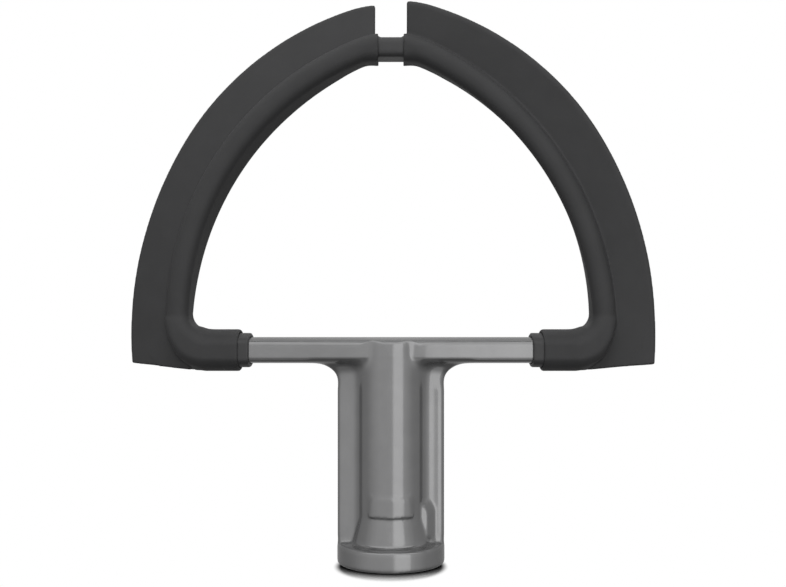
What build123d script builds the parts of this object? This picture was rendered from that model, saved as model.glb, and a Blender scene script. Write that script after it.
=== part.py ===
"""Flat beater with flexible scraper edges, for a tilt-head stand mixer.

The beater stands on the mouth of its hub, with the arch up.  A die-cast
aluminium T carries a stiff plastic arch, and a soft blade is moulded over each
arm of the arch.  The arch and its blades look the same when they are turned
half a turn about the shaft, because each arm leans forward on its right.

Axes: Z is the shaft, X runs along the crossbar, and -Y is the front.
The origin is on the shaft axis in the plane of the hub's mouth.
All lengths are in millimetres and all angles in degrees.
"""

from build123d import *
from math import asin, cos, degrees, radians, sin, sqrt
import os

os.makedirs("parts", exist_ok=True)

# Mixer shaft and its drive pin
shaft_diameter = 12.7
shaft_clearance = 0.2
bore_depth = 44.0
bore_lead_in = 0.6
pin_diameter = 4.75
pin_reach = 7.8
pin_clearance = 0.2
lock_turn = 105.0

# Hub column, webs and mouth ring
hub_radius = 8.9
ring_radius = 14.3
ring_height = 5.5
ring_round = 0.8
flare_spread = 1.5
flare_height = 6.9
web_half_width = 14.2
web_thickness = 3.5
web_edge_round = 1.3
valley_radius = 3.8

# Swellings over the channel that lets the pin in and the pocket that locks it
pocket_floor_height = 13.3
pocket_wall = 1.4
band_half_angle = 40.0
band_bevel = 1.0
channel_wall = 1.35
channel_end_wall = 2.1
channel_flank_angle = 43.0
channel_face_angle = 10.0
channel_shoulder_radius = 5.5
root_overlap = 0.6

# Crossbar
bar_height = 6.38
bar_depth = 14.6
bar_round = 1.5
bar_centre_height = 56.6
bar_fillet = 5.8
bar_seat_height = 2.0
bar_seat_angle = 35.0
bar_corner_radius = 2.2
bar_grip = 11.1
neck_setback = 4.6
neck_length = 3.0
neck_cut = 0.8

# Arch seen from the front, where both edges of an arm are arcs about one centre
opening_half_width = 53.46
arch_spring_height = 6.11
arm_inner_radius = 76.6
arm_width = 6.0
arm_depth = 12.0
arm_round = 2.85
arm_twist = 10.6
cuff_underside_drop = 2.5
cuff_step = 0.2

# Elbow and stub, where an arm of the arch meets the crossbar
elbow_inner_radius = 4.0
stub_length = 8.45
stub_round = 2.6
socket_wall = 1.11
socket_show = 3.1
blade_wall = 1.0
end_round = 0.4

# Bridge between the two blades at the top
bridge_half_gap = 3.37
bridge_round = 1.6
bridge_top_drop = 0.65
bridge_underside_rise = 0.1

# Scraper wings, with an outer edge of a flatter lower arc and a tighter upper one
wing_width = 10.54
wing_lower_drop = 2.15
wing_lower_flatter = 19.33
wing_upper_tighter = 1.57
wing_blend_angle = 28.6
wing_setback = 1.03
wing_foot_slope = 4.8
wing_end_cant = 13.3
wing_middle_cant = 17.8
wing_root_thickness = 3.2
wing_tip_thickness = 1.8
wing_root_depth = 2.6

# Heights and reaches that follow for the hub and the crossbar
bore_radius = (shaft_diameter + shaft_clearance) / 2
pin_slot_width = pin_diameter + 2 * pin_clearance
pocket_radius = pin_reach + pin_clearance
pocket_roof_height = pocket_floor_height + pin_slot_width
pin_slot_angle = degrees(asin(pin_slot_width / 2 / pocket_radius))
band_top = pocket_roof_height + band_bevel / 2
channel_half_width = pin_slot_width / 2 + channel_wall
channel_reach = pocket_radius + channel_end_wall
channel_flank = channel_half_width - web_thickness / 2
web_foot_height = ring_height - root_overlap
bar_underside = bar_centre_height - bar_height / 2
hub_top = bar_centre_height + bar_height / 2 - bar_round

# Sizes and places that follow for the arch
arch_centre_x = opening_half_width - arm_inner_radius
arch_centre_height = bar_centre_height + arch_spring_height
arch_peak = arch_centre_height + sqrt(arm_inner_radius**2 - arch_centre_x**2)
cuff_underside = arch_peak - cuff_underside_drop
top_angle = degrees(asin((cuff_underside - arch_centre_height) / arm_inner_radius))
cuff_end = arch_centre_x + arm_inner_radius * cos(radians(top_angle))
arm_outer_radius = arm_inner_radius + arm_width
socket_height = bar_height + 2 * socket_wall
stub_height = socket_height + 2 * blade_wall
stub_depth = bar_depth + 2 * socket_wall + 2 * blade_wall
elbow_centre_height = bar_centre_height + stub_height / 2 + elbow_inner_radius
elbow_rise = elbow_centre_height - arch_centre_height
elbow_centre_x = arch_centre_x + sqrt(arm_inner_radius**2 - elbow_rise**2) - elbow_inner_radius
arm_foot_angle = degrees(asin(elbow_rise / arm_inner_radius))
blade_end = elbow_centre_x - stub_length
socket_end = blade_end - socket_show
bar_end = socket_end + bar_grip
neck_middle = socket_end + neck_setback + neck_length / 2

# Arcs of the wings' outer edge, as a centre and a radius for each
wing_lower_radius = arm_outer_radius + wing_lower_flatter
wing_upper_radius = arm_outer_radius - wing_upper_tighter
wing_lower_centre = Vector(
    opening_half_width + arm_width + wing_width - wing_lower_radius,
    arch_centre_height - wing_lower_drop,
)
wing_upper_centre = wing_lower_centre + Vector(
    (wing_lower_radius - wing_upper_radius) * cos(radians(wing_blend_angle)),
    (wing_lower_radius - wing_upper_radius) * sin(radians(wing_blend_angle)),
)
wing_blend_height = wing_lower_centre.Y + wing_lower_radius * sin(radians(wing_blend_angle))


def spaced(first, last, count):
    """Evenly spaced values from first to last."""
    return [first + (last - first) * step / (count - 1) for step in range(count)]


def web_plate(thickness):
    """The web's outline seen from the front, which flares into the crossbar's underside."""
    edge = web_half_width
    flare_start = bar_underside - bar_fillet
    with BuildPart() as plate:
        with BuildSketch(Plane.XZ):
            with BuildLine():
                Polyline(
                    (edge, flare_start),
                    (edge, web_foot_height),
                    (-edge, web_foot_height),
                    (-edge, flare_start),
                )
                RadiusArc((-edge, flare_start), (-edge - bar_fillet, bar_underside), -bar_fillet)
                Polyline(
                    (-edge - bar_fillet, bar_underside),
                    (-edge - bar_fillet, bar_centre_height),
                    (edge + bar_fillet, bar_centre_height),
                    (edge + bar_fillet, bar_underside),
                )
                RadiusArc((edge + bar_fillet, bar_underside), (edge, flare_start), -bar_fillet)
            make_face()
        extrude(amount=thickness / 2, both=True)
    return plate.part


def bar_seat():
    """The hub and its webs widen just below the crossbar, so no sharp corner is left."""
    with BuildPart() as seat:
        with BuildSketch(Plane.XY.offset(bar_underside - bar_seat_height)) as section:
            Circle(hub_radius)
            Rectangle(2 * (web_half_width + bar_fillet), web_thickness)
            corners = section.vertices().filter_by(lambda corner: abs(corner.X) < web_half_width)
            fillet(corners, valley_radius)
        extrude(amount=bar_seat_height, taper=-bar_seat_angle)
        add(web_plate(bar_depth - 2 * bar_round), mode=Mode.INTERSECT)
    return seat.part


def channel_swelling():
    """The swelling over the pin's channel, on the front of the right web."""
    foot = channel_reach + channel_flank
    shoulder = channel_shoulder_radius
    with BuildPart() as swelling:
        with BuildSketch(Plane.XZ.offset(web_thickness / 2 - root_overlap)):
            with BuildLine():
                Polyline(
                    (foot - shoulder, band_top),
                    (0, band_top),
                    (0, web_foot_height),
                    (foot, web_foot_height),
                    (foot, band_top - shoulder),
                )
                RadiusArc((foot, band_top - shoulder), (foot - shoulder, band_top), -shoulder)
            make_face()
        extrude(amount=2 * channel_flank, taper=channel_flank_angle)
        lean = radians(channel_face_angle)
        face = Plane(
            origin=(channel_reach, -channel_half_width, 0), z_dir=(-sin(lean), cos(lean), 0)
        )
        split(bisect_by=face, keep=Keep.TOP)
    return swelling.part


def swell(angle):
    """1 at the middle of an arm, and 0 at its foot and at its top."""
    middle = (arm_foot_angle + top_angle) / 2
    share = (angle - middle) / (top_angle - middle)
    return max(0.0, 1 - share**2)


def arm_plane(angle, centre_radius, twist):
    """A plane across the right arm, turned about the arm so its outer side comes forward."""
    outward = Vector(cos(radians(angle)), 0, sin(radians(angle)))
    downward = Vector(sin(radians(angle)), 0, -cos(radians(angle)))
    leaning = outward * cos(radians(twist)) - Vector(0, 1, 0) * sin(radians(twist))
    centre = Vector(arch_centre_x, 0, arch_centre_height) + outward * centre_radius
    return Plane(origin=centre, x_dir=leaning, z_dir=downward)


def elbow_plane(turn, centre_radius):
    """A plane across the right elbow, one of a fan about the centre of its inner corner."""
    outward = Vector(cos(radians(turn)), 0, -sin(radians(turn)))
    forward = Vector(-sin(radians(turn)), 0, -cos(radians(turn)))
    centre = Vector(elbow_centre_x, 0, elbow_centre_height) + outward * centre_radius
    return Plane(origin=centre, x_dir=outward, z_dir=forward)


def tube_section(inner, outer, depth, corner, inset):
    """A tube's section between its inner and outer faces, drawn in by the inset."""
    width = outer - inner - 2 * inset
    RectangleRounded(width, depth - 2 * inset, min(corner - inset, 0.48 * width))


def arm_top_at(across):
    """Height of the arm's outer side at a distance across from the shaft."""
    return arch_centre_height + sqrt(arm_outer_radius**2 - (across - arch_centre_x) ** 2)


def arm_tube(inset, end):
    """The right arm, elbow and stub, with every face drawn in by the inset."""
    pivot = (arm_inner_radius + arm_outer_radius) / 2
    foot_outer = arch_centre_x + sqrt(arm_outer_radius**2 - elbow_rise**2) - elbow_centre_x
    stub_outer = elbow_inner_radius + stub_height
    with BuildPart() as tube:
        # The arm is an arc that twists about its own middle, cut square at the top
        for angle in spaced(top_angle + 5, arm_foot_angle + 5, 8):
            with BuildSketch(arm_plane(angle, pivot, arm_twist * swell(angle))):
                tube_section(arm_inner_radius, arm_outer_radius, arm_depth, arm_round, inset)
        with BuildSketch(elbow_plane(0, (elbow_inner_radius + foot_outer) / 2)):
            tube_section(elbow_inner_radius, foot_outer, arm_depth, arm_round, inset)
        loft()
        split(bisect_by=Plane.YZ.offset(bridge_half_gap), keep=Keep.TOP)

        # A cuff with a level underside ends the arm at the top of the arch
        for across in (bridge_half_gap, cuff_end):
            top = arm_top_at(across) - inset - cuff_step
            underside = cuff_underside + inset
            with BuildSketch(Plane.YZ.offset(across)):
                with Locations((0, (top + underside) / 2)):
                    RectangleRounded(
                        arm_depth - 2 * inset - 2 * cuff_step, top - underside, arm_round - inset
                    )
        loft()

        # The elbow grows from the arm's section to the stub's as it turns
        for turn in spaced(0, 90, 4):
            share = turn / 90
            outer = foot_outer + (stub_outer - foot_outer) * share
            depth = arm_depth + (stub_depth - arm_depth) * share
            corner = arm_round + (stub_round - arm_round) * share
            with BuildSketch(elbow_plane(turn, (elbow_inner_radius + outer) / 2)):
                tube_section(elbow_inner_radius, outer, depth, corner, inset)
        loft()

        with BuildSketch(elbow_plane(90, elbow_inner_radius + stub_height / 2)):
            tube_section(0, stub_height, stub_depth, stub_round, inset)
        extrude(amount=elbow_centre_x - end)
        fillet(tube.faces().filter_by(Plane.YZ).sort_by(Axis.Z)[0].edges(), end_round)
    return tube.part


def ray_to_arc(angle, arc_centre, arc_radius):
    """Distance along a ray from the arch's centre to an arc that surrounds it."""
    offset = Vector(arch_centre_x, arch_centre_height) - arc_centre
    along = offset.X * cos(radians(angle)) + offset.Y * sin(radians(angle))
    return sqrt(along**2 - offset.length**2 + arc_radius**2) - along


def wing_edge_at(angle):
    """Distance from the arch's centre to the wing's outer edge."""
    lower = ray_to_arc(angle, wing_lower_centre, wing_lower_radius)
    upper = ray_to_arc(angle, wing_upper_centre, wing_upper_radius)
    height = arch_centre_height + lower * sin(radians(angle))
    return lower if height < wing_blend_height else upper


def wing():
    """The right wing, a thin tapered blade that leans forward as it leaves the arm."""
    pivot = (arm_inner_radius + arm_outer_radius) / 2
    root = wing_root_thickness / 2
    tip = wing_tip_thickness / 2
    with BuildPart() as blade:
        for angle in spaced(arm_foot_angle - 14, top_angle + 9, 12):
            cant = wing_end_cant + (wing_middle_cant - wing_end_cant) * swell(angle)
            reach = (wing_edge_at(angle) - pivot) / cos(radians(cant))
            with BuildSketch(arm_plane(angle, pivot, cant)):
                with BuildLine():
                    Polyline(
                        (reach - tip, tip),
                        (-wing_root_depth, root),
                        (-wing_root_depth, -root),
                        (reach - tip, -tip),
                    )
                    ThreePointArc((reach - tip, -tip), (reach, 0), (reach - tip, tip))
                make_face()
        loft()
        split(bisect_by=Plane.YZ.offset(bridge_half_gap + wing_setback), keep=Keep.TOP)

        # The wing's foot slopes in and down to the underside of the stub
        slope = radians(wing_foot_slope)
        corner = (elbow_centre_x, 0, bar_centre_height - stub_height / 2)
        split(bisect_by=Plane(origin=corner, z_dir=(-sin(slope), 0, cos(slope))), keep=Keep.TOP)
    return blade.part


with BuildPart() as hub_casting:
    add(web_plate(web_thickness))
    rims = ShapeList(hub_casting.faces().filter_by(Axis.Y).edges())
    uprights = rims.filter_by(Axis.Z).filter_by(lambda rim: rim.center().Z < bar_underside)
    fillet(uprights + rims.filter_by(GeomType.CIRCLE), web_edge_round)

    # Column, with a hollow curve down each side where it meets the webs
    with BuildSketch(Plane.XY.offset(web_foot_height)):
        Circle(hub_radius)
    extrude(amount=hub_top - web_foot_height)
    creases = hub_casting.edges().filter_by(Axis.Z)
    fillet(creases.filter_by(lambda crease: abs(crease.center().X) < hub_radius), valley_radius)

    # Crossbar, on a seat that the hub and its webs widen into
    with BuildSketch(Plane.YZ):
        with Locations((0, bar_centre_height)):
            RectangleRounded(bar_depth, bar_height, bar_round)
    extrude(amount=bar_end, both=True)
    add(bar_seat())

    # Soft inner corners where the column stands proud of the crossbar's front and back
    if bar_depth / 2 < hub_radius:
        with BuildSketch(Plane.XY.offset(bar_underside + bar_round)) as proud_column:
            Circle(hub_radius)
            Rectangle(2 * hub_radius, bar_depth)
            inner_corners = proud_column.vertices().filter_by(
                lambda corner: abs(corner.X) < hub_radius - root_overlap
            )
            fillet(inner_corners, bar_corner_radius)
        extrude(amount=bar_height - 2 * bar_round)

    # Mouth ring, and the flare that carries the column down to it
    with BuildSketch(Plane.XZ) as mouth:
        Polygon(
            (0, 0),
            (ring_radius, 0),
            (ring_radius, ring_height),
            (hub_radius + flare_spread, ring_height),
            (hub_radius, ring_height + flare_height),
            (0, ring_height + flare_height),
            align=None,
        )
        fillet(mouth.vertices().group_by(Axis.X)[-1], ring_round)
        fillet(
            mouth.vertices().filter_by(lambda v: abs(v.X - hub_radius - flare_spread) < 0.01),
            ring_round,
        )
    revolve(axis=Axis.Z)

    # Band over the locking pocket, bevelled along its upper edge
    with BuildSketch(Plane.XZ.rotated((0, 0, -90 - band_half_angle))):
        Polygon(
            (hub_radius - root_overlap, pocket_floor_height),
            (pocket_radius + pocket_wall, pocket_floor_height),
            (pocket_radius + pocket_wall, band_top - band_bevel),
            (hub_radius, band_top),
            (hub_radius - root_overlap, band_top),
            align=None,
        )
    revolve(axis=Axis.Z, revolution_arc=2 * band_half_angle)

    # The pin's channel swells the right web on both faces
    add(channel_swelling())
    add(mirror(channel_swelling(), about=Plane.XZ, mode=Mode.PRIVATE))

    # Bore for the shaft, with a lead-in at its mouth
    with BuildSketch():
        Circle(bore_radius)
    extrude(amount=bore_depth, mode=Mode.SUBTRACT)
    Cone(
        bore_radius + bore_lead_in,
        bore_radius,
        bore_lead_in,
        align=(Align.CENTER, Align.CENTER, Align.MIN),
        mode=Mode.SUBTRACT,
    )

    # Channel that lets the pin in, and the pocket in which a part turn locks it
    with BuildSketch():
        Rectangle(pocket_radius, pin_slot_width, align=(Align.MIN, Align.CENTER))
    extrude(amount=pocket_roof_height, mode=Mode.SUBTRACT)
    with BuildSketch(Plane.XZ.offset(0)):
        with Locations((0, pocket_floor_height)):
            Rectangle(pocket_radius, pin_slot_width, align=(Align.MIN, Align.MIN))
    revolve(axis=Axis.Z, revolution_arc=-(lock_turn + pin_slot_angle), mode=Mode.SUBTRACT)

    # A neck near each end of the bar keys it into the plastic moulded round it
    for side in (-1, 1):
        with BuildSketch(Plane.YZ.offset(side * neck_middle)):
            with Locations((0, bar_centre_height)):
                Rectangle(2 * bar_depth, 2 * bar_height)
                RectangleRounded(
                    bar_depth - 2 * neck_cut,
                    bar_height - 2 * neck_cut,
                    bar_round,
                    mode=Mode.SUBTRACT,
                )
        extrude(amount=neck_length / 2, both=True, mode=Mode.SUBTRACT)

hub_casting.part.label = "hub_casting"
export_step(hub_casting.part, "parts/hub_casting.step")

right_tube = arm_tube(0, blade_end)
right_core = arm_tube(blade_wall, socket_end)

with BuildPart() as arch_rib:
    add(right_core)
    add(right_core.rotate(Axis.Z, 180))

    # The bridge at the top, bare between the two blades
    bridge_underside = cuff_underside + blade_wall + bridge_underside_rise
    bridge_top = arm_top_at(bridge_half_gap) - blade_wall - bridge_top_drop
    with BuildSketch(Plane.YZ):
        with Locations((0, (bridge_top + bridge_underside) / 2)):
            RectangleRounded(
                arm_depth - 2 * blade_wall, bridge_top - bridge_underside, bridge_round
            )
    extrude(amount=bridge_half_gap, both=True)
    add(hub_casting.part, mode=Mode.SUBTRACT)

arch_rib.part.label = "arch_rib"
export_step(arch_rib.part, "parts/arch_rib.step")

with BuildPart() as right_flex_blade:
    add(right_tube)
    add(wing())
    add(right_core, mode=Mode.SUBTRACT)

right_flex_blade.part.label = "right_flex_blade"
export_step(right_flex_blade.part, "parts/right_flex_blade.step")

with BuildPart() as left_flex_blade:
    add(right_flex_blade.part.rotate(Axis.Z, 180))

left_flex_blade.part.label = "left_flex_blade"
export_step(left_flex_blade.part, "parts/left_flex_blade.step")
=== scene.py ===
# %% [markdown]
# # A flat beater with soft scraper blades
# This lesson dresses the imported model of a stand mixer's flat beater. The beater
# is a cast aluminium T with a dark plastic arch on it, and each arm of the arch
# carries a soft blade that wipes the bowl. The measured shapes come from the CAD
# model. Here they get the soft corners of real castings and mouldings, their
# finishes, and a studio with a camera.
# The frame is loaded first. Lengths in the shaping cells are in millimetres,
# heights are over the hub's mouth, and "across" is the distance from the shaft's
# axis to either side.

# %% Load the imported beater
import math

import bpy
import numpy as np
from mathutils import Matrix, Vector


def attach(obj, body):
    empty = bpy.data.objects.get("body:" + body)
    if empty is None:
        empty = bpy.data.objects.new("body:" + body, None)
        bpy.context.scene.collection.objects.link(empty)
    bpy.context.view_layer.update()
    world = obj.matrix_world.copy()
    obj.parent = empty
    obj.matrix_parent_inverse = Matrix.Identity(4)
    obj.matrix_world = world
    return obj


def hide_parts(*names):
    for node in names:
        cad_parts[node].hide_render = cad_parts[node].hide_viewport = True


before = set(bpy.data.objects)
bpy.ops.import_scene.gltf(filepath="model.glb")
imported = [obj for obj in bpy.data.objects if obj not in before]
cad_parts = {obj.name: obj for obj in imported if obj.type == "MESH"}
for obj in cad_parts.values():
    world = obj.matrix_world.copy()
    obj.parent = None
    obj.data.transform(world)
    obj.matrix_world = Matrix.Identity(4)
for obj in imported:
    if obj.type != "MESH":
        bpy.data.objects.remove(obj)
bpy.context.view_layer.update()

MM = 0.001
for name in sorted(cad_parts):
    print(name, "has", len(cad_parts[name].data.polygons), "faces")

# %% [markdown]
# ## From sharp solids to cast and moulded ones
# A CAD solid has clean, sharp inner corners, and neither a die nor a mould can
# make those: metal and rubber flow round every corner a little. Bevels would
# have to be picked edge by edge. It is simpler to do what the material does,
# everywhere at once: copy the mesh, remesh it into an even grid of small
# squares, and relax the grid a few times so that ridges and creases round off
# while flat faces stay where they are.
# First comes the grid. The squares are about as small as they can be with fewer
# than 200,000 triangles in a piece.

# %% Even squares
FINE_SQUARE = 0.36
BLADE_SQUARE = 0.38


def even_copy(node, name, square_mm):
    """A copy of a node's mesh, made again from even squares."""
    piece = bpy.data.objects.new(name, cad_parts[node].data.copy())
    bpy.context.scene.collection.objects.link(piece)
    grid = piece.modifiers.new("even_grid", "REMESH")
    grid.mode = "VOXEL"
    grid.voxel_size = square_mm * MM
    seen = piece.evaluated_get(bpy.context.evaluated_depsgraph_get())
    mesh = bpy.data.meshes.new_from_object(seen)
    mesh.name = name
    piece.modifiers.clear()
    piece.data = mesh
    print(name, "has", len(mesh.polygons), "squares of", square_mm, "mm")
    return piece


def places_mm(mesh):
    """Where the mesh's points are, one row for each, in millimetres."""
    places = np.empty(len(mesh.vertices) * 3)
    mesh.vertices.foreach_get("co", places)
    return places.reshape(-1, 3) / MM


def put_back(mesh, places):
    """Move the mesh's points to these places, given in millimetres."""
    mesh.vertices.foreach_set("co", (places * MM).ravel())
    mesh.update()


print("squares are", FINE_SQUARE, "mm, and", BLADE_SQUARE, "mm on the blades")

# %% [markdown]
# ## Relaxing the grid
# Each pass moves every point halfway to the middle of its neighbours, which
# rounds off the sharp edges and the steps of the grid. On its own that would
# also shrink the shape. So most passes are followed by a step back of about the
# same size: it brings the broad forms back but not the sharp ones. What thin
# arms still lose is made good by pushing their skin out a little, never beyond
# the box that the piece had.

# %% Relax and swell
PULL = 0.5
STEP_BACK = 0.52


def relax(mesh, places, passes, share=1.0, keep_size=False):
    """Move each point towards the middle of its neighbours, a few times over.

    The share is one number, or one for each point, that weakens the pull there.
    """
    edges = np.empty(len(mesh.edges) * 2, dtype=np.int32)
    mesh.edges.foreach_get("vertices", edges)
    first, last = edges.reshape(-1, 2).T
    point, neighbour = np.append(first, last), np.append(last, first)
    links = np.bincount(point)[:, None]
    pull = PULL * np.reshape(share, (-1, 1))
    steps = [pull, -STEP_BACK] if keep_size else [pull]
    for step in steps * passes:
        total = [np.bincount(point, column[neighbour]) for column in places.T]
        places = places + step * (np.stack(total, axis=1) / links - places)
    return places


def swell(mesh, places, outward_mm):
    """Push each point out along the surface's normal, but not out of the old box."""
    before = places_mm(mesh)
    put_back(mesh, places)
    normals = np.array([corner.vector for corner in mesh.vertex_normals])
    grown = places + normals * outward_mm[:, None]
    return np.clip(grown, before.min(axis=0), before.max(axis=0))


print("a pass goes", PULL, "of the way to the neighbours, and a step back", STEP_BACK)

# %% [markdown]
# ## Soft edges for every change
# A real casting has no step where one of its forms ends, so each change below
# fades in and out. A region is a number from 0 to 1 for every point, made by
# multiplying ramps, bands and hills of a height, a distance or an angle. It could
# be painted on by hand as a vertex group, but numbers can be measured.

# %% Ramps, bands and hills
def ramp(value, start, stop):
    """0 below start, 1 above stop, and a smooth rise between them."""
    share = np.clip((value - start) / (stop - start), 0, 1)
    return share * share * (3 - 2 * share)


def band(value, start, full, fading, gone):
    """A ramp up from start to full, and one down from fading to gone."""
    return ramp(value, start, full) * (1 - ramp(value, fading, gone))


def hill(value, middle, width):
    """1 at the middle, and less the further the value is from it."""
    return np.exp(-(((value - middle) / width) ** 2))


print("a quarter of the way up, a ramp is at", ramp(0.25, 0, 1))

# %% [markdown]
# ## The crown of the crossbar
# The crossbar and the two sleeves round each of its ends aren't flat on top.
# They are crowned, highest along the middle and lower towards the front and
# back, which shows in the curved end lines of the sleeves. One rule bends all
# the pieces alike, so they still fit into each other: a point's height from the
# middle of the section shrinks with the square of its distance from the
# beater's mid plane. Round the elbows the same rule works on the distance from
# the middle of the tube, and it fades out up the arm. Under the bar the webs and
# the column follow its underside, less and less.

# %% Crown
BAR_UNDERSIDE, BAR_MIDDLE = 53.41, 56.6
ELBOW_ACROSS, ELBOW_HEIGHT, ELBOW_REACH = 49.39, 65.9, 18.5
HUB_REACH, HUB_TOP = 22, 61
# From the elbow's centre to the middle of its tube, where it meets the arm and the bar
TUBE_AT_ARM, TUBE_AT_BAR = 7.0, 9.3
CROWN, CROWN_REACH = 0.47, 9.4
CROWN_RISE, RISE_REACH = 0.26, 3.0
CROWN_FADES_UP_ARM = (0.1, 1.0)
WEBS_FOLLOW = (47.5, BAR_UNDERSIDE)
TINY = 1e-9


def crown(across, depth, height, is_hub):
    """How far each point moves out and down, and how far it belongs to the bar."""
    out = np.maximum(across - ELBOW_ACROSS, 0)
    down = ELBOW_HEIGHT - height
    radius = np.hypot(out, down)
    turn = np.clip(np.arctan2(down, np.maximum(out, TINY)) / (math.pi / 2), 0, 1)
    near = (radius < ELBOW_REACH) & (down > 0)
    share = np.where(near, ramp(turn, *CROWN_FADES_UP_ARM), 0)
    is_web = is_hub & (height < BAR_UNDERSIDE)
    share = np.where(is_web, ramp(height, *WEBS_FOLLOW), share)

    in_bar = np.minimum(radius, ELBOW_HEIGHT - BAR_UNDERSIDE)
    middle = TUBE_AT_ARM + (TUBE_AT_BAR - TUBE_AT_ARM) * turn
    from_middle = np.where(is_hub, in_bar, radius) - middle
    squeeze = CROWN * np.minimum((depth / CROWN_REACH) ** 2, 1)
    rise = CROWN_RISE * np.clip(from_middle / RISE_REACH, -1, 1)
    change = share * (rise - squeeze * from_middle) / np.maximum(radius, TINY)
    return change * out, change * down, share


top_corner = (np.array([at]) for at in (30.0, 8.0, 58.5))
print("the bar's top corner sinks by", round(crown(*top_corner, False)[1].item(), 2), "mm")

# %% [markdown]
# ## The column's top
# On the real casting the top of the column carries the bar's crown on, but
# falls off a little less towards the front and back. The CAD model is flat
# there, with rounded edges. So a rule of its own takes over above the column:
# the points near the top are lifted by what the crest is above the CAD's top at
# their depth.

# %% Column top
ROUND_STARTS, ROUND_RADIUS, ROUND_CENTRE = 5.8, 1.5, 58.29
CREST, CREST_FALL = 60.05, 0.0125
LIFTED = (BAR_MIDDLE, 58.2)
COLUMN_SIDES = (5, 8.5)


def crest_lift(depth, height):
    """How far each point over the column rises, so that its top forms a crest."""
    front = np.abs(depth)
    into_round = np.clip(front - ROUND_STARTS, 0, ROUND_RADIUS)
    cad_top = ROUND_CENTRE + np.sqrt(np.maximum(ROUND_RADIUS**2 - into_round**2, 0))
    return (CREST - CREST_FALL * front**2 - cad_top) * ramp(height, *LIFTED)


print("the column's top rises by", round(crest_lift(0.0, 60.0), 2), "mm")

# %% [markdown]
# ## The taper of the bar, and its sleeves
# The bar grows slimmer towards its ends, so its right half turns a little to the
# bright card and its left half away from it. Round the elbow it is back to its
# full depth. The sleeves also reach a little further in along the bar than they
# do in the CAD model.

# %% Taper and sleeves
TAPER, TAPER_START, TAPER_LENGTH = 0.16, 9, 29
SLEEVE_SHIFT = 0.9
SLEEVE_ENDS = (35, 39.8, 41, 48)


def shape_crossbar(places):
    """Crown and taper the bar, the sleeves and the elbows, and leave the rest."""
    side, depth, height = np.sign(places[:, 0]), places[:, 1], places[:, 2]
    across = np.abs(places[:, 0])
    is_hub = (across < HUB_REACH) & (height < HUB_TOP)
    outward, downward, share = crown(across, depth, height, is_hub)
    proud = (1 - ramp(across, *COLUMN_SIDES)) * (height > BAR_MIDDLE) * is_hub
    crowned = (1 - proud) * (height - downward) + proud * (height + crest_lift(depth, height))
    slim = TAPER * np.clip((across - TAPER_START) / TAPER_LENGTH, 0, 1) * share
    inward = SLEEVE_SHIFT * band(across, *SLEEVE_ENDS) * share
    sideways = places[:, 0] + side * (outward - inward)
    return np.stack([sideways, depth * (1 - slim), crowned], axis=1)


bar_end = shape_crossbar(np.array([[38.0, -8.0, BAR_MIDDLE]]))[0]
print("near the end of the bar, 8 mm of depth becomes", round(-bar_end[1], 2), "mm")

# %% [markdown]
# ## Hub and crossbar
# On the real beater this is one aluminium die casting. Its webs run into the
# crossbar's underside in a wide soft hollow, the sides of the pocket's band fade
# into the column, and the foot of the flare runs softly into the ring. Larger
# fillets in the CAD model would do that too, but there they meet in corners that
# no fillet can turn. So those regions are relaxed more often than the rest, and
# so is the edge of the column's top once it has its crown.

# %% Casting
HOLLOW_HEIGHTS, HOLLOW_ENDS, HOLLOW_FROM_COLUMN = (45.5, 50.5, 53.2, 54.6), (20, 23), (6.9, 7.6)
BAND_HEIGHTS, BAND_SIDES = (13.6, 14.4, 19.5, 20.5), (4.7, 5.4, 6.4, 7.1)
FOOT_HEIGHTS, FOOT_FROM_AXIS = (4.6, 5.4, 6.0, 8.0), (8.4, 9.0)
TOP_HEIGHTS, TOP_EDGE, TOP_SIDES = (BAR_MIDDLE, 58.0), (3.5, 5.0), (7.5, 10.0)

hub = even_copy("hub_casting", "hub_and_crossbar", FINE_SQUARE)
points = relax(hub.data, places_mm(hub.data), 2)
points = relax(hub.data, points, 4, keep_size=True)
across, depth, height = np.abs(points[:, 0]), np.abs(points[:, 1]), points[:, 2]
from_axis = np.hypot(across, depth)
hollow = band(height, *HOLLOW_HEIGHTS) * (1 - ramp(across, *HOLLOW_ENDS))
hollow *= ramp(from_axis, *HOLLOW_FROM_COLUMN)
band_sides = band(height, *BAND_HEIGHTS) * band(across, *BAND_SIDES) * (points[:, 1] < 0)
foot = band(height, *FOOT_HEIGHTS) * ramp(from_axis, *FOOT_FROM_AXIS)
for passes, region in ((70, hollow), (20, band_sides), (12, foot)):
    points = relax(hub.data, points, passes, region)
    print(passes, "more passes over", np.count_nonzero(region), "points")
points = shape_crossbar(points)
top_edge = ramp(depth, *TOP_EDGE) * (1 - ramp(across, *TOP_SIDES))
points = relax(hub.data, points, 5, ramp(points[:, 2], *TOP_HEIGHTS) * top_edge)
points[:, 2] = np.maximum(points[:, 2], 0)
put_back(hub.data, points)
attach(hub, "root")
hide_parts("hub_casting")

# %% [markdown]
# ## Arch
# The stiff arch is one moulding that runs inside both blades. Only its two small
# collars and the bridge at the top can be seen. The bridge is thin, so it is
# swelled by what relaxing takes from it.

# %% Arch
BRIDGE_SWELL, BRIDGE_HEIGHTS = 0.15, (100, 110)

arch = even_copy("arch_rib", "stiff_arch", FINE_SQUARE)
points = relax(arch.data, places_mm(arch.data), 1)
points = relax(arch.data, points, 3, keep_size=True)
points = swell(arch.data, points, BRIDGE_SWELL * ramp(points[:, 2], *BRIDGE_HEIGHTS))
put_back(arch.data, shape_crossbar(points))
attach(arch, "root")
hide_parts("arch_rib")

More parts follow.
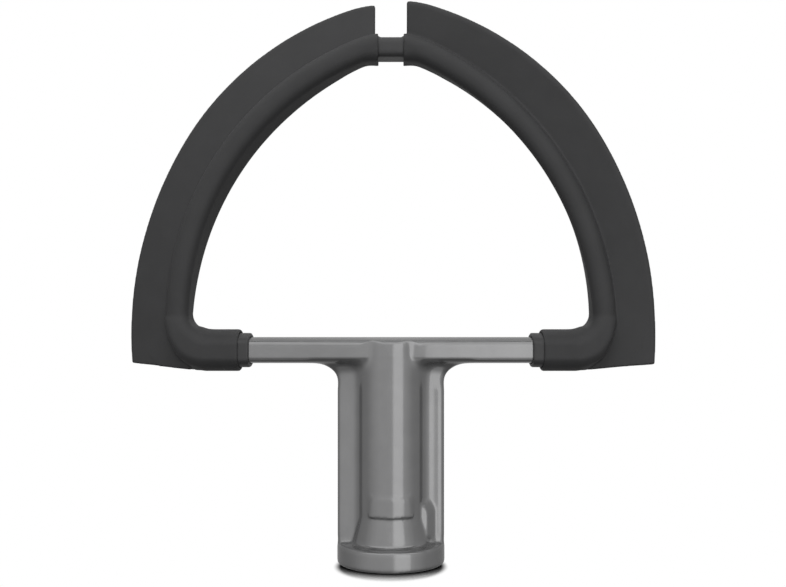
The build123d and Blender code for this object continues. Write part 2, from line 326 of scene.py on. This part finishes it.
# %% [markdown]
# ## The rubber round an elbow
# The tube turns from the crossbar into the arm round a tight inner corner, and
# rubber fills such a corner, so the inside of the elbow sits further in. So does
# the crease where the wing leaves the tube. At the foot of the wing a small
# fillet fills the corner under the elbow. All three move the surface along the
# line from the elbow's centre, by an amount that depends on the angle there:
# 0 degrees points away from the shaft, and 90 degrees straight down.

# %% Elbow
# From the elbow's centre to the tube's outer skin, where it meets the arm and the bar
SKIN_AT_ARM, SKIN_AT_BAR = 10, 14.6
FILLET, FILLET_TURN, FILLET_DEPTH = 0.5, (78.5, 5.5), (0, 2.5)
FILLET_SKIN = (-0.9, -0.2, 0.3, 0.8)
CREASE, CREASE_TURN, CREASE_SKIN = 0.75, (4, 25, 42, 62), (0.4, 1.7)
INSIDE, INSIDE_TURN, INSIDE_REACH = 0.52, (72, 21), (4.2, 6.5)
SMOOTHED_REACH, SMOOTHED_BELOW = (5.0, 7.0), (-1.5, 0.5)


def elbow_rubber(across, depth, height):
    """How far each point moves out and down, and how much it is smoothed then."""
    down, out = ELBOW_HEIGHT - height, across - ELBOW_ACROSS
    radius = np.maximum(np.hypot(out, down), TINY)
    turn = np.degrees(np.arctan2(down, out))
    off_skin = radius - (SKIN_AT_ARM + (SKIN_AT_BAR - SKIN_AT_ARM) * turn / 90)
    change = FILLET * hill(turn, *FILLET_TURN) * hill(depth, *FILLET_DEPTH)
    change *= band(off_skin, *FILLET_SKIN)
    change -= CREASE * band(turn, *CREASE_TURN) * hill(off_skin, *CREASE_SKIN)
    change -= INSIDE * hill(turn, *INSIDE_TURN) * (1 - ramp(radius, *INSIDE_REACH))
    change *= (down > 0) / radius
    smoothed = (1 - ramp(radius, *SMOOTHED_REACH)) * ramp(down, *SMOOTHED_BELOW)
    return change * out, change * down, smoothed


CORNER_RADIUS = 4.0
inner_corner = (np.array([at]) for at in (ELBOW_ACROSS, 0.0, ELBOW_HEIGHT - CORNER_RADIUS))
print("the inner corner moves up by", round(-elbow_rubber(*inner_corner)[1].item(), 2), "mm")

# %% [markdown]
# ## Blades
# Each blade is a soft tube round an arm of the arch, with a wing on it that
# tapers to a rounded lip. The arm is swelled by what relaxing takes from it, most
# of all near the top. The tube's underside turns softly into its level end, so
# that bend is relaxed more often. Where the wing ends at the top, the mould's
# corner pulls the rubber down a little, so its last few millimetres dip.

# %% Blades
BEND_ACROSS, BEND_HEIGHTS = (3.7, 5, 11, 15), (120, 126, 135.5, 137)
ARM_SWELL, ARM_HEIGHTS = 0.08, (66, 80)
UPPER_SWELL, UPPER_HEIGHTS = 0.1, (105, 130)
DIP, DIP_START, DIP_LENGTH, DIP_LIMIT, DIP_HEIGHTS = 0.55, 11, 7, 1.1, (137.5, 141.0)


def blade(side):
    """One blade in place of its node, softened and finished at both of its ends."""
    piece = even_copy(side + "_flex_blade", side + "_blade", BLADE_SQUARE)
    points = relax(piece.data, places_mm(piece.data), 1)
    points = relax(piece.data, points, 4, keep_size=True)
    across, depth, height = np.abs(points[:, 0]), points[:, 1], points[:, 2]
    bend = band(across, *BEND_ACROSS) * band(height, *BEND_HEIGHTS)
    points = relax(piece.data, points, 30, bend)
    outward_mm = ARM_SWELL * ramp(height, *ARM_HEIGHTS) + UPPER_SWELL * ramp(height, *UPPER_HEIGHTS)
    points = swell(piece.data, points, outward_mm)

    outward, downward, smoothed = elbow_rubber(across, depth, height)
    points[:, 0] += np.sign(points[:, 0]) * outward
    points[:, 2] -= downward
    points = shape_crossbar(relax(piece.data, points, 14, smoothed))
    to_end = np.clip((DIP_START - np.abs(points[:, 0])) / DIP_LENGTH, 0, DIP_LIMIT)
    points[:, 2] -= DIP * to_end**2 * ramp(points[:, 2], *DIP_HEIGHTS)
    put_back(piece.data, points)
    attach(piece, "root")
    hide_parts(side + "_flex_blade")
    return piece


blades = [blade("left"), blade("right")]
for piece in (hub, arch, *blades):
    piece.data.shade_smooth()
    print(piece.name, "is", round(piece.dimensions.z / MM, 1), "mm high")

# %% [markdown]
# ## A bench of small node helpers
# Every finish below is a network of nodes that reads the object's own
# coordinates, so it needs no pictures and stays put from every side. Such a
# network could be wired by hand in the shader editor. Small helpers keep the
# cells short instead: one adds a node and feeds its inputs, and the rest make a
# noise of a stated grain size, a range of numbers, or a step of arithmetic.

# %% Node helpers
def feed(tree, node, inputs):
    """Set each named input to a value, or link it to another node's output."""
    for slot, value in inputs.items():
        if isinstance(value, bpy.types.NodeSocket):
            tree.links.new(value, node.inputs[slot])
        else:
            node.inputs[slot].default_value = value
    return node


def add_node(tree, kind, inputs, **settings):
    """A new shader node with its settings made and its inputs fed."""
    node = tree.nodes.new("ShaderNode" + kind)
    for setting, value in settings.items():
        setattr(node, setting, value)
    return feed(tree, node, inputs)


def arithmetic(tree, operation, *values):
    """The result of one Math node."""
    return add_node(tree, "Math", dict(enumerate(values)), operation=operation).outputs[0]


def grain(tree, place, size_mm, detail, roughness=0.55):
    """Noise with grains of about the stated size."""
    inputs = {"Scale": 1.0 / (size_mm * MM), "Detail": detail, "Roughness": roughness}
    inputs["Vector"] = place
    return add_node(tree, "TexNoise", inputs).outputs["Fac"]


def spread(tree, source, low, high, start=0.35, stop=0.65, **settings):
    """Turn start to stop, where most of a noise lies, into low to high."""
    inputs = {"Value": source, "From Min": start, "From Max": stop, "To Min": low, "To Max": high}
    return add_node(tree, "MapRange", inputs, **settings).outputs["Result"]


def empty_tree(owner):
    """The node tree of a new material or world, with no nodes in it."""
    owner.use_nodes = True
    owner.node_tree.nodes.clear()
    return owner.node_tree


print("helpers ready in Blender", bpy.app.version_string)

# %% [markdown]
# ## A finish with clouds and a grain
# Cast metal and moulded rubber have the same kind of detail at different
# strengths: clouds of a few millimetres in which the tone varies faintly, and a
# fine grain that is seen in the gloss and felt in the height. So one recipe
# serves all three finishes, and each says its own sizes and strengths. What is
# the same all over the surface is set on the shader itself.

# %% Grained finish
CLOUD_DETAIL, GRAIN_DETAIL = 2.0, 3.0


def grained_finish(name, tones, cloud_mm, gloss_range, grain_mm, relief_mm, even, **grain_kind):
    """A finish with faint clouds in its tone, and a fine grain in gloss and height."""
    finish = bpy.data.materials.new(name)
    finish.use_nodes = True
    tree = finish.node_tree
    place = add_node(tree, "TexCoord", {}).outputs["Object"]
    clouds = spread(tree, grain(tree, place, cloud_mm, CLOUD_DETAIL), 0.0, 1.0)
    mix = {"Factor": clouds, "A": (*tones[0], 1.0), "B": (*tones[1], 1.0)}
    tone = add_node(tree, "Mix", mix, data_type="RGBA").outputs["Result"]
    fine = grain(tree, place, grain_mm, GRAIN_DETAIL, **grain_kind)
    relief = add_node(tree, "Bump", {"Strength": 1.0, "Distance": relief_mm * MM, "Height": fine})
    inputs = {"Base Color": tone, "Roughness": spread(tree, fine, *gloss_range)}
    inputs["Normal"] = relief.outputs["Normal"]
    feed(tree, tree.nodes["Principled BSDF"], {**inputs, **even})
    return finish


def wear(piece, finish):
    """Give a piece this one finish."""
    piece.data.materials.clear()
    piece.data.materials.append(finish)
    print(piece.name, "wears", finish.name)


print("clouds have detail", CLOUD_DETAIL, "and grains", GRAIN_DETAIL)

# %% [markdown]
# ## Burnished die casting
# A die casting comes out of its mould with a fine even skin, and tumbling
# burnishes it to a satin grey. A polished metal would have a Metallic of 1, but
# the burnished skin is pitted too finely to see and scatters some of the light,
# so over a third of it is left matte. What makes it read as cast is a very fine
# grain in its roughness and its height, with faint cloudiness of a few
# millimetres under it.

# %% Cast aluminium
burnished = grained_finish(
    "burnished_casting", tones=((0.216, 0.216, 0.218), (0.230, 0.230, 0.232)), cloud_mm=6.0,
    gloss_range=(0.14, 0.20), grain_mm=0.4, relief_mm=0.003, even={"Metallic": 0.62}, roughness=0.6,
)
wear(hub, burnished)

# %% [markdown]
# ## Soft rubber and stiff plastic
# The blades are a matte charcoal rubber. It scatters most of its light and has
# a weak, broad sheen, so its roughness is high and its specular level low. The
# arch under it is a stiffer plastic of almost the same colour, a little
# glossier where its collars and the bridge show.

# %% Rubber and plastic
def charcoal(dark, light):
    """Two tones of grey with a trace of blue."""
    return (dark, dark, dark * 1.02), (light, light, light * 1.02)


plastic = grained_finish(
    "charcoal_plastic", tones=charcoal(0.040, 0.044), cloud_mm=9.0,
    gloss_range=(0.42, 0.52), grain_mm=0.25, relief_mm=0.003, even={"Specular IOR Level": 0.3},
)
rubber = grained_finish(
    "charcoal_rubber", tones=charcoal(0.041, 0.045), cloud_mm=9.0,
    gloss_range=(0.56, 0.66), grain_mm=0.3, relief_mm=0.004, even={"Specular IOR Level": 0.22},
)
wear(arch, plastic)
for piece in blades:
    wear(piece, rubber)

# %% [markdown]
# ## One look for the eye, another for the light
# A photographer's white sweep is lit so brightly that it would light the object
# from below as well. In the photograph the undersides are dark all the same. A
# shader can do what cloth can't: it shows one thing to the camera, reflections
# and clear things, and another to the light that bounces off it.

# %% Mixed by ray
EYE_RAYS = ("Is Camera Ray", "Is Glossy Ray", "Is Transmission Ray")


def by_ray(tree, for_light, for_eye):
    """Show one shader to the light, and another to the camera, gloss and glass."""
    path = add_node(tree, "LightPath", {}).outputs
    is_eye = path[EYE_RAYS[0]]
    for ray in EYE_RAYS[1:]:
        is_eye = arithmetic(tree, "MAXIMUM", is_eye, path[ray])
    mix = {"Fac": is_eye, 1: for_light.outputs[0], 2: for_eye.outputs[0]}
    return add_node(tree, "MixShader", mix).outputs[0]


print("the eye's rays:", ", ".join(EYE_RAYS))

# %% [markdown]
# ## A white floor that keeps the shadow
# The photograph's ground is plain white, with a small dark shadow where the
# mouth ring stands. The floor glows plain white for the camera, and is dimmed by
# how much of the sky the beater hides from it, as Ambient Occlusion measures it.
# That shadow is kept only in an oval patch close under the front of the ring, as
# in the photograph. Light that bounces off the floor sees a dim sheet instead.

# %% Floor
FLOOR_RADIUS = 3.0
# In millimetres: the patch's two radii, how far its middle lies in front of the shaft's
# axis, and how far from the floor the beater still darkens it
PATCH_ACROSS, PATCH_DEEP, PATCH_FORWARD, SHADOW_REACH = 14.9, 17.5, 5.0, 10
PATCH_EDGE = (0.88, 1.03)
SHADOW_POWER = 8.0
DIM = 0.12

bpy.ops.mesh.primitive_circle_add(
    vertices=96, radius=FLOOR_RADIUS, fill_type="NGON", location=(0, 0, 0)
)
floor = bpy.context.object
floor.name = "floor"
floor.visible_glossy = False

floor_white = bpy.data.materials.new("floor_white")
tree = empty_tree(floor_white)
patch = add_node(tree, "Mapping", {
    "Vector": add_node(tree, "TexCoord", {}).outputs["Object"],
    "Location": (0, PATCH_FORWARD / PATCH_DEEP, 0),
    "Scale": (1 / (PATCH_ACROSS * MM), 1 / (PATCH_DEEP * MM), 1),
})
from_patch = add_node(tree, "VectorMath", {0: patch.outputs["Vector"]}, operation="LENGTH")
outside = spread(
    tree, from_patch.outputs["Value"], 0.0, 1.0, *PATCH_EDGE, interpolation_type="SMOOTHSTEP"
)
sky_seen = add_node(tree, "AmbientOcclusion", {"Distance": SHADOW_REACH * MM}, samples=8)
shadow = arithmetic(tree, "POWER", sky_seen.outputs["AO"], SHADOW_POWER)
white = add_node(tree, "Emission", {"Strength": spread(tree, outside, shadow, 1.0, 0.0, 1.0)})
dim_sheet = add_node(tree, "BsdfDiffuse", {"Color": (DIM, DIM, DIM, 1)})
add_node(tree, "OutputMaterial", {"Surface": by_ray(tree, dim_sheet, white)})
floor.data.materials.append(floor_white)
print("floor is", round(floor.dimensions.x, 2), "m across")

# %% [markdown]
# ## World
# The camera, reflections and clear things see a plain white world. Everything
# else gets only a weak, even fill from it, so that the lamps shape the object.

# %% World
WHITE = (1, 1, 1, 1)
FILL = 0.11

world = bpy.data.worlds.new("white_studio")
bpy.context.scene.world = world
tree = empty_tree(world)
weak_fill = add_node(tree, "Background", {"Color": WHITE, "Strength": FILL})
backdrop = add_node(tree, "Background", {"Color": WHITE, "Strength": 1.0})
add_node(tree, "OutputWorld", {"Surface": by_ray(tree, weak_fill, backdrop)})
print(world.name, "fills with", FILL, "of white")

# %% [markdown]
# ## Cards that the metal sees
# Burnished metal is only as good as what it reflects. A photographer stands a
# bright card beside the camera for a clear streak down the column, grey cards at
# the sides so that its flanks darken and look round, and one overhead for the
# tops. Here the cards are one round wall, whose tone depends on the direction. It
# is hidden from the camera and throws no light or shadow, so only reflections
# find it.

# %% The wall of cards
CARD_RADIUS, CARD_HEIGHT = 0.36, 0.07

bpy.ops.mesh.primitive_uv_sphere_add(
    segments=96, ring_count=48, radius=CARD_RADIUS, location=(0, 0, CARD_HEIGHT)
)
cards = bpy.context.object
cards.name = "reflected_cards"
for ray in ("camera", "diffuse", "transmission", "volume_scatter", "shadow"):
    setattr(cards, "visible_" + ray, False)
print("cards stand", CARD_RADIUS, "m away")

# %% [markdown]
# ## Tones round the wall
# The stops below go round the beater in degrees from the camera, with positive
# ones towards the right of the picture. Just right of the camera stands the
# bright card, at almost twice white. Beside and behind the beater the wall is
# about half as bright as white, or less. Its foot is dimmer, and high up its
# tones give way to the overhead card, which is bright over the camera and dim
# behind the beater.

# %% Tones of the cards
BRIGHTEST = 2.0
CARD_STOPS = [
    (-180, 0.50), (-160, 0.40), (-120, 0.45), (-85, 0.55), (-60, 0.85), (-40, 1.0),
    (6, 1.0), (8, 1.95), (40, 1.95), (43, 1.0), (58, 0.84), (78, 0.58), (110, 0.50),
    (135, 0.42), (160, 0.40), (180, 0.50),
]
LOW_TONE, LOW_STARTS, LOW_ENDS = 0.40, -0.8 * CARD_RADIUS, -0.35 * CARD_RADIUS
ROOF_STARTS, ROOF_FULL = 0.42 * CARD_RADIUS, 0.72 * CARD_RADIUS
ROOF_BEHIND, ROOF_AHEAD = 0.55, 1.45
BEHIND, AHEAD = -0.6 * CARD_RADIUS, 0.05 * CARD_RADIUS

card_tones = bpy.data.materials.new("card_tones")
tree = empty_tree(card_tones)
place = add_node(tree, "TexCoord", {}).outputs["Object"]
direction = add_node(tree, "SeparateXYZ", {0: place}).outputs
toward_camera = arithmetic(tree, "MULTIPLY", direction["Y"], -1.0)
angle = arithmetic(tree, "ARCTAN2", direction["X"], toward_camera)
round_wall = arithmetic(tree, "MULTIPLY_ADD", angle, 0.5 / math.pi, 0.5)
tones = add_node(tree, "FloatCurve", {"Value": round_wall})
curve = tones.mapping.curves[0]
while len(curve.points) < len(CARD_STOPS):
    curve.points.new(0.5, 0.5)
for point, (degrees, tone) in zip(curve.points, CARD_STOPS):
    point.location = ((degrees + 180) / 360, tone / BRIGHTEST)
    point.handle_type = "VECTOR"
tones.mapping.update()
wall = arithmetic(tree, "MULTIPLY", tones.outputs[0], BRIGHTEST)
low = spread(tree, direction["Z"], LOW_TONE, 1.0, LOW_STARTS, LOW_ENDS)
roof = spread(tree, direction["Z"], 0.0, 1.0, ROOF_STARTS, ROOF_FULL)
overhead = spread(tree, toward_camera, ROOF_BEHIND, ROOF_AHEAD, BEHIND, AHEAD)
above = arithmetic(tree, "MULTIPLY", roof, arithmetic(tree, "SUBTRACT", overhead, wall))
level = arithmetic(tree, "MULTIPLY", arithmetic(tree, "ADD", wall, above), low)
glow = add_node(tree, "Emission", {"Strength": level})
add_node(tree, "OutputMaterial", {"Surface": glow.outputs[0]})
card_tones.cycles.emission_sampling = "NONE"
cards.data.materials.append(card_tones)
print("the wall has", len(curve.points), "stops")

# %% [markdown]
# ## Lamps
# The rubber hardly reflects the cards, so lamps have to shape it: a large
# softbox above the front, which leaves the undersides darker, one level with the
# beater, and a weaker one behind, so that the back isn't black. They could light
# the metal as well, but their reflections would be hard squares. So reflections
# don't show them, and the cards stand in for them there.

# %% Lamps
BEATER_MIDDLE = Vector((0, 0, 0.08))


def softbox(name, place, width, height, level):
    """A soft lamp whose face has about the stated brightness, where 1 is white."""
    lamp = bpy.data.lights.new(name, "AREA")
    lamp.shape = "RECTANGLE"
    lamp.size = width
    lamp.size_y = height
    lamp.energy = level * width * height * math.pi
    holder = bpy.data.objects.new(name, lamp)
    bpy.context.scene.collection.objects.link(holder)
    holder.location = place
    holder.rotation_euler = (BEATER_MIDDLE - Vector(place)).to_track_quat("-Z", "Y").to_euler()
    holder.visible_glossy = False
    print(name, "level", level)


softbox("top_softbox", (0.0, -0.55, 0.80), 0.6, 0.5, 5.0)
softbox("front_softbox", (0.0, -1.0, 0.20), 0.5, 0.4, 7.0)
softbox("back_softbox", (0.0, 0.9, 0.45), 0.6, 0.5, 3.0)

# %% [markdown]
# ## Camera
# The photograph was taken level, from about a third of a metre, with the hub
# just left of the middle. Its focal length was measured in pixels of the
# photograph, and the lens is that length on a sensor as wide as the picture.

# %% Camera
SENSOR_MM = 36.0
FOCAL_PIXELS, PHOTO_WIDTH = 1198, 786
CAMERA_PLACE = (0.00056, -0.320, 0.0717)

eye = bpy.data.cameras.new("camera")
eye.sensor_fit = "HORIZONTAL"
eye.sensor_width = SENSOR_MM
eye.lens = SENSOR_MM * FOCAL_PIXELS / PHOTO_WIDTH
camera = bpy.data.objects.new("camera", eye)
bpy.context.scene.collection.objects.link(camera)
camera.location = CAMERA_PLACE
camera.rotation_euler = (math.radians(90), 0, 0)
bpy.context.scene.camera = camera
bpy.context.scene.view_settings.view_transform = "Standard"
print("the lens is", round(eye.lens, 2), "mm long")
